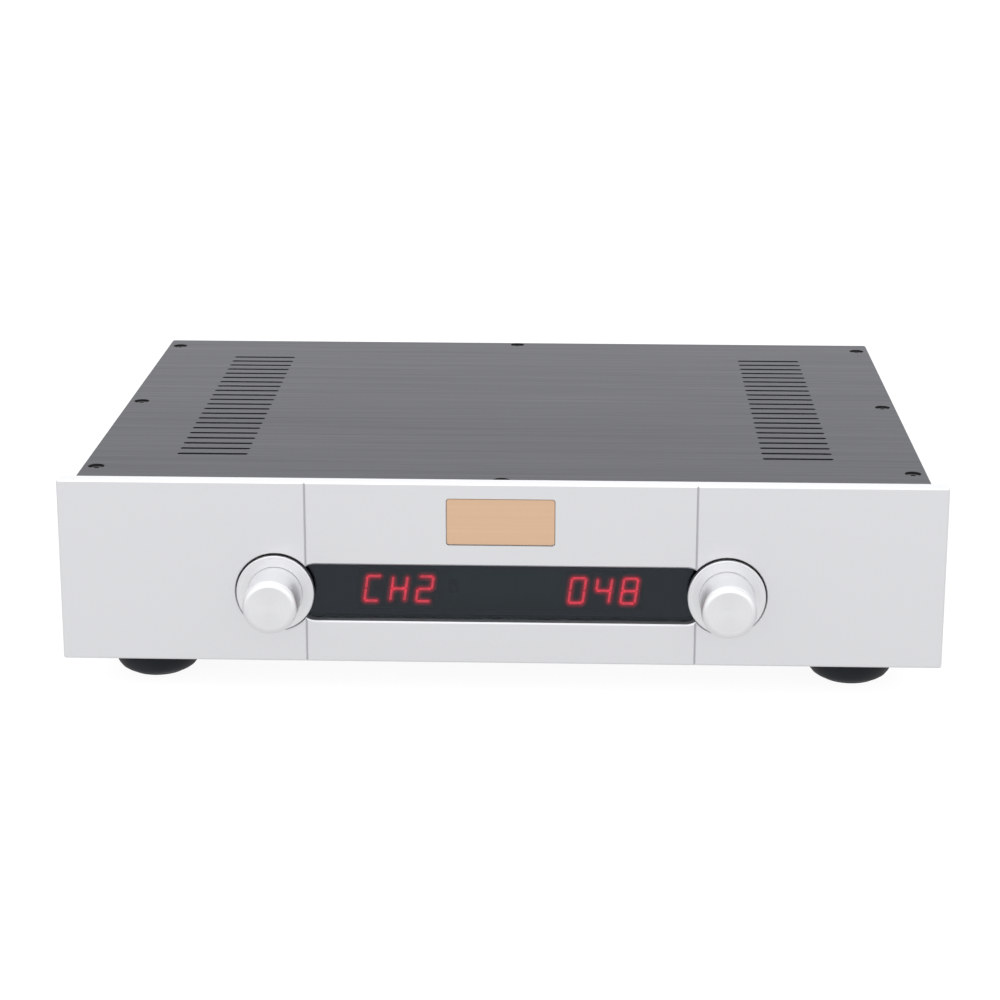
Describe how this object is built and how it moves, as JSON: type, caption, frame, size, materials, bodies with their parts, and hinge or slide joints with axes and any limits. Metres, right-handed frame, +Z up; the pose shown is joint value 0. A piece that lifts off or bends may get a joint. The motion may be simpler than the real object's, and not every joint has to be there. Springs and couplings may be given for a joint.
{
  "type": "integrated stereo amplifier",
  "caption": "Slim stereo amplifier with a thick silver front panel, two push-and-turn knobs, a red LED display, a slotted grey cover and rear connectors.",
  "frame": {"origin": "centre of the footprint at the floor, under the middle of the overall depth", "axes": "+X to the right seen from the front, +Y to the rear, +Z up; the front panel faces -Y"},
  "size_m": [0.43, 0.3774, 0.1065],
  "materials": {
    "aluminium": "satin bead-blasted silver anodising",
    "champagne_plate": "brushed champagne-gold anodising",
    "smoked_window": "smoked acrylic",
    "black_plastic": "black moulded plastic",
    "aluminium_knob": "turned satin aluminium",
    "steel": "zinc-plated steel",
    "ivory_plastic": "ivory plastic",
    "encoder_metal": "stamped and die-cast encoder body",
    "chassis_metal": "dark grey painted sheet",
    "circuit_board": "green circuit board",
    "led_face": "black LED module",
    "lit_red": "lit red segments",
    "ir_plastic": "dark infrared-pass plastic",
    "side_aluminium": "dark grey anodised aluminium",
    "cover_aluminium": "dark grey brushed anodised aluminium",
    "black_screws": "blackened steel",
    "foot_plastic": "dark moulded rubber",
    "winding_tape": "yellow polyester tape over copper",
    "rubber_pad": "pads, with a painted steel plate",
    "capacitor_sleeve": "dark blue sleeve",
    "brass": "brass",
    "heatsink_aluminium": "extruded aluminium",
    "relay_plastic": "white relay housings",
    "wire_insulation": "red insulation",
    "ribbon_grey": "grey ribbon",
    "nickel": "nickel-plated brass",
    "fuse_glass": "glass tube fuse",
    "rocker_plastic": "black rocker",
    "red_cap": "red moulded cap",
    "black_cap": "black moulded cap",
    "gold_plate": "gold-plated brass"
  },
  "bodies": {
    "case": {"front_panel": "aluminium", "nameplate": "champagne_plate", "display_window": "smoked_window", "display_bezel": "black_plastic", "encoder_housings": "encoder_metal", "front_fasteners": "steel", "front_subpanel": "chassis_metal", "display_board": "circuit_board", "channel_led_module": "led_face", "volume_led_module": "led_face", "lit_segments": "lit_red", "ir_receiver": "ir_plastic", "left_side_panel": "side_aluminium", "right_side_panel": "side_aluminium", "rear_panel": "chassis_metal", "bottom_plate": "chassis_metal", "top_cover": "cover_aluminium", "cover_screws": "black_screws", "chassis_screws": "black_screws", "foot_screws": "steel", "foot_front_left": "foot_plastic", "foot_front_right": "foot_plastic", "foot_rear_left": "foot_plastic", "foot_rear_right": "foot_plastic", "transformer": "winding_tape", "transformer_clamp": "rubber_pad", "transformer_bolt": "steel", "power_supply_board": "circuit_board", "filter_capacitors": "capacitor_sleeve", "bridge_rectifier": "black_plastic", "board_standoffs": "brass", "left_heatsink": "heatsink_aluminium", "right_heatsink": "heatsink_aluminium", "amplifier_boards": "circuit_board", "output_transistors": "black_plastic", "input_board": "circuit_board", "relays": "relay_plastic", "internal_wiring": "wire_insulation", "ribbon_cable": "ribbon_grey", "mains_inlet": "black_plastic", "mains_pins": "nickel", "speaker_posts": "gold_plate", "rca_sockets": "gold_plate"},
    "input_rotor": {"input_encoder_rotor": "ivory_plastic"},
    "input_knob": {"input_knob": "aluminium_knob", "input_encoder_shaft": "steel"},
    "volume_rotor": {"volume_encoder_rotor": "ivory_plastic"},
    "volume_knob": {"volume_knob": "aluminium_knob", "volume_encoder_shaft": "steel"},
    "power_rocker": {"power_rocker": "rocker_plastic"},
    "fuse_drawer": {"fuse_drawer": "black_plastic", "fuse": "fuse_glass"},
    "left_positive_ring": {"left_positive_ring": "gold_plate"},
    "left_positive_cap": {"left_positive_cap": "red_cap"},
    "left_negative_ring": {"left_negative_ring": "gold_plate"},
    "left_negative_cap": {"left_negative_cap": "black_cap"},
    "right_positive_ring": {"right_positive_ring": "gold_plate"},
    "right_positive_cap": {"right_positive_cap": "red_cap"},
    "right_negative_ring": {"right_negative_ring": "gold_plate"},
    "right_negative_cap": {"right_negative_cap": "black_cap"}
  },
  "joints": [
    {"name": "input_turn", "type": "hinge", "parent": "case", "child": "input_rotor", "pos_m": [-0.1097, -0.14825, 0.0509], "axis": [0, -1, 0], "continuous": true},
    {"name": "input_push", "type": "slide", "parent": "input_rotor", "child": "input_knob", "axis": [0, 1, 0], "range_m": [0, 0.0005], "stiffness_N_per_m": 3000, "springref_m": -0.0005},
    {"name": "volume_turn", "type": "hinge", "parent": "case", "child": "volume_rotor", "pos_m": [0.1097, -0.14825, 0.0509], "axis": [0, -1, 0], "continuous": true},
    {"name": "volume_push", "type": "slide", "parent": "volume_rotor", "child": "volume_knob", "axis": [0, 1, 0], "range_m": [0, 0.0005], "stiffness_N_per_m": 3000, "springref_m": -0.0005},
    {"name": "power_tilt", "type": "hinge", "parent": "case", "child": "power_rocker", "pos_m": [-0.166, 0.16175, 0.076], "axis": [0, 0, 1], "range_deg": [0, 18]},
    {"name": "fuse_slide", "type": "slide", "parent": "case", "child": "fuse_drawer", "axis": [0, 1, 0], "range_m": [0, 0.012]},
    {"name": "left_positive_lift", "type": "slide", "parent": "case", "child": "left_positive_ring", "axis": [0, 1, 0], "range_m": [0, 0.006]},
    {"name": "left_positive_turn", "type": "hinge", "parent": "left_positive_ring", "child": "left_positive_cap", "pos_m": [-0.036, 0.17275, 0.0605], "axis": [0, 1, 0], "range_deg": [0, 2160]},
    {"name": "left_negative_lift", "type": "slide", "parent": "case", "child": "left_negative_ring", "axis": [0, 1, 0], "range_m": [0, 0.006]},
    {"name": "left_negative_turn", "type": "hinge", "parent": "left_negative_ring", "child": "left_negative_cap", "pos_m": [-0.05505, 0.17275, 0.0605], "axis": [0, 1, 0], "range_deg": [0, 2160]},
    {"name": "right_positive_lift", "type": "slide", "parent": "case", "child": "right_positive_ring", "axis": [0, 1, 0], "range_m": [0, 0.006]},
    {"name": "right_positive_turn", "type": "hinge", "parent": "right_positive_ring", "child": "right_positive_cap", "pos_m": [-0.096, 0.17275, 0.0605], "axis": [0, 1, 0], "range_deg": [0, 2160]},
    {"name": "right_negative_lift", "type": "slide", "parent": "case", "child": "right_negative_ring", "axis": [0, 1, 0], "range_m": [0, 0.006]},
    {"name": "right_negative_turn", "type": "hinge", "parent": "right_negative_ring", "child": "right_negative_cap", "pos_m": [-0.11505, 0.17275, 0.0605], "axis": [0, 1, 0], "range_deg": [0, 2160]}
  ],
  "couplings": [
    {"joint": "left_positive_turn", "follows": "left_positive_lift", "rad_per_m": 6283.2},
    {"joint": "left_negative_turn", "follows": "left_negative_lift", "rad_per_m": 6283.2},
    {"joint": "right_positive_turn", "follows": "right_positive_lift", "rad_per_m": 6283.2},
    {"joint": "right_negative_turn", "follows": "right_negative_lift", "rad_per_m": 6283.2}
  ]
}
